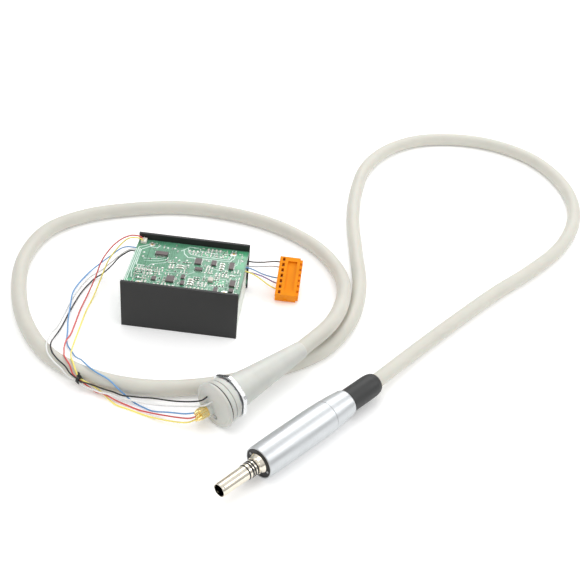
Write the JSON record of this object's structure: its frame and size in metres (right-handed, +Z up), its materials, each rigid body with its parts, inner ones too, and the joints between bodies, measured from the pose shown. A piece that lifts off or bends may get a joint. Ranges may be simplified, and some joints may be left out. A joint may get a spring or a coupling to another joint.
{
  "type": "electric dental micromotor with hose, panel gland and controller",
  "caption": "Slim cylindrical micromotor with a stepped coupling nose, a long silicone hose, a flanged panel gland, coloured wires, an open channel controller and an orange plug.",
  "frame": {"origin": "on the table, below the middle of the box around the motor, the gland and the controller (hose, wires and plug left out)", "axes": "+Z up, +X along the motor from its nose towards its hose, +Y from the motor towards the controller"},
  "size_m": [0.561, 0.3369, 0.042],
  "materials": {
    "satin_silver": "satin, fine turned lines",
    "nickel": "polished, warm nickel plate",
    "bearing_steel": "polished",
    "black_rubber": "matt to satin",
    "black_plastic": "matt",
    "light_glass": "clear rod end",
    "core_steel": "laminated",
    "copper": "enamelled wire",
    "magnet": "ground",
    "housing_aluminium": "machined",
    "insulator": "moulded",
    "gold": "gold plated",
    "spring_steel": "drawn wire",
    "hose_silicone": "smooth satin silicone",
    "gland_grey": "satin, slightly translucent",
    "washer_steel": "satin",
    "nut_chrome": "bright plated",
    "wire_black": "satin insulation",
    "wire_white": "satin insulation",
    "wire_red": "satin insulation",
    "wire_yellow": "satin insulation",
    "wire_blue": "satin insulation",
    "wire_grey": "satin insulation",
    "wire_violet": "satin insulation",
    "tie_black": "moulded",
    "housing_black": "black satin coating",
    "board_green": "solder mask with tracks",
    "chip_black": "moulded epoxy",
    "ceramic": "fired ceramic with tinned ends",
    "capacitor_sleeve": "shrink sleeve",
    "pillar_brass": "turned",
    "sheet_white": "translucent film",
    "header_white": "moulded",
    "plug_orange": "moulded",
    "clamp_tin": "tinned"
  },
  "bodies": {
    "set": {"barrel_sleeve": "satin_silver", "front_plate": "black_plastic", "coupling_nose": "nickel", "nose_collar": "nickel", "nose_o_rings": "black_rubber", "nose_seal_ring": "black_rubber", "light_windows": "light_glass", "stator_core": "core_steel", "stator_windings": "copper", "rear_housing": "housing_aluminium", "rear_connector": "insulator", "connector_pins": "gold", "rear_boot": "black_rubber", "front_bearing_outer": "bearing_steel", "rear_bearing_outer": "bearing_steel", "dog_spring": "spring_steel", "hose": "hose_silicone", "gland_flange": "gland_grey", "gland_gasket": "black_rubber", "gland_ring": "gland_grey", "strain_relief_cone": "gland_grey", "contact_cluster": "gold", "flange_screw": "washer_steel", "wire_black": "wire_black", "wire_white": "wire_white", "wire_red": "wire_red", "wire_yellow": "wire_yellow", "wire_blue": "wire_blue", "cable_tie": "tie_black", "channel_housing": "housing_black", "main_board": "board_green", "power_board": "board_green", "board_chips": "chip_black", "board_passives": "ceramic", "capacitors": "capacitor_sleeve", "power_transistors": "chip_black", "board_pillars": "pillar_brass", "insulation_sheet": "sheet_white", "left_header": "header_white", "right_header": "header_white", "lead_black": "wire_black", "lead_grey": "wire_grey", "lead_blue": "wire_blue", "lead_violet": "wire_violet", "lead_yellow": "wire_yellow", "plug_housing": "plug_orange", "plug_clamps": "clamp_tin"},
    "rotor": {"rotor_shaft": "nickel", "rotor_magnet": "magnet", "front_bearing_inner": "bearing_steel", "rear_bearing_inner": "bearing_steel", "front_bearing_balls": "bearing_steel", "rear_bearing_balls": "bearing_steel"},
    "drive_dog": {"drive_dog": "nickel"},
    "rear_sleeve": {"rear_sleeve": "satin_silver"},
    "gland_washer": {"gland_washer": "washer_steel"},
    "lock_nut": {"lock_nut": "nut_chrome"}
  },
  "joints": [
    {"name": "rotor_spin", "type": "hinge", "parent": "set", "child": "rotor", "pos_m": [-0.0528, -0.107, 0.01205], "axis": [1, 0, 0], "continuous": true},
    {"name": "dog_slide", "type": "slide", "parent": "rotor", "child": "drive_dog", "axis": [1, 0, 0], "range_m": [0, 0.0015], "stiffness_N_per_m": 400},
    {"name": "rear_sleeve_turn", "type": "hinge", "parent": "set", "child": "rear_sleeve", "pos_m": [-0.0528, -0.107, 0.01205], "axis": [1, 0, 0], "continuous": true},
    {"name": "nut_travel", "type": "slide", "parent": "set", "child": "gland_washer", "axis": [0.9997, 0, 0.0262], "range_m": [0, 0.0061]},
    {"name": "nut_turn", "type": "hinge", "parent": "gland_washer", "child": "lock_nut", "pos_m": [-0.02721, -0.052, 0.01761], "axis": [0.9997, 0, 0.0262], "range_deg": [0, 1440]}
  ],
  "couplings": [
    {"joint": "nut_travel", "follows": "nut_turn", "m_per_rad": 0.00023873}
  ]
}
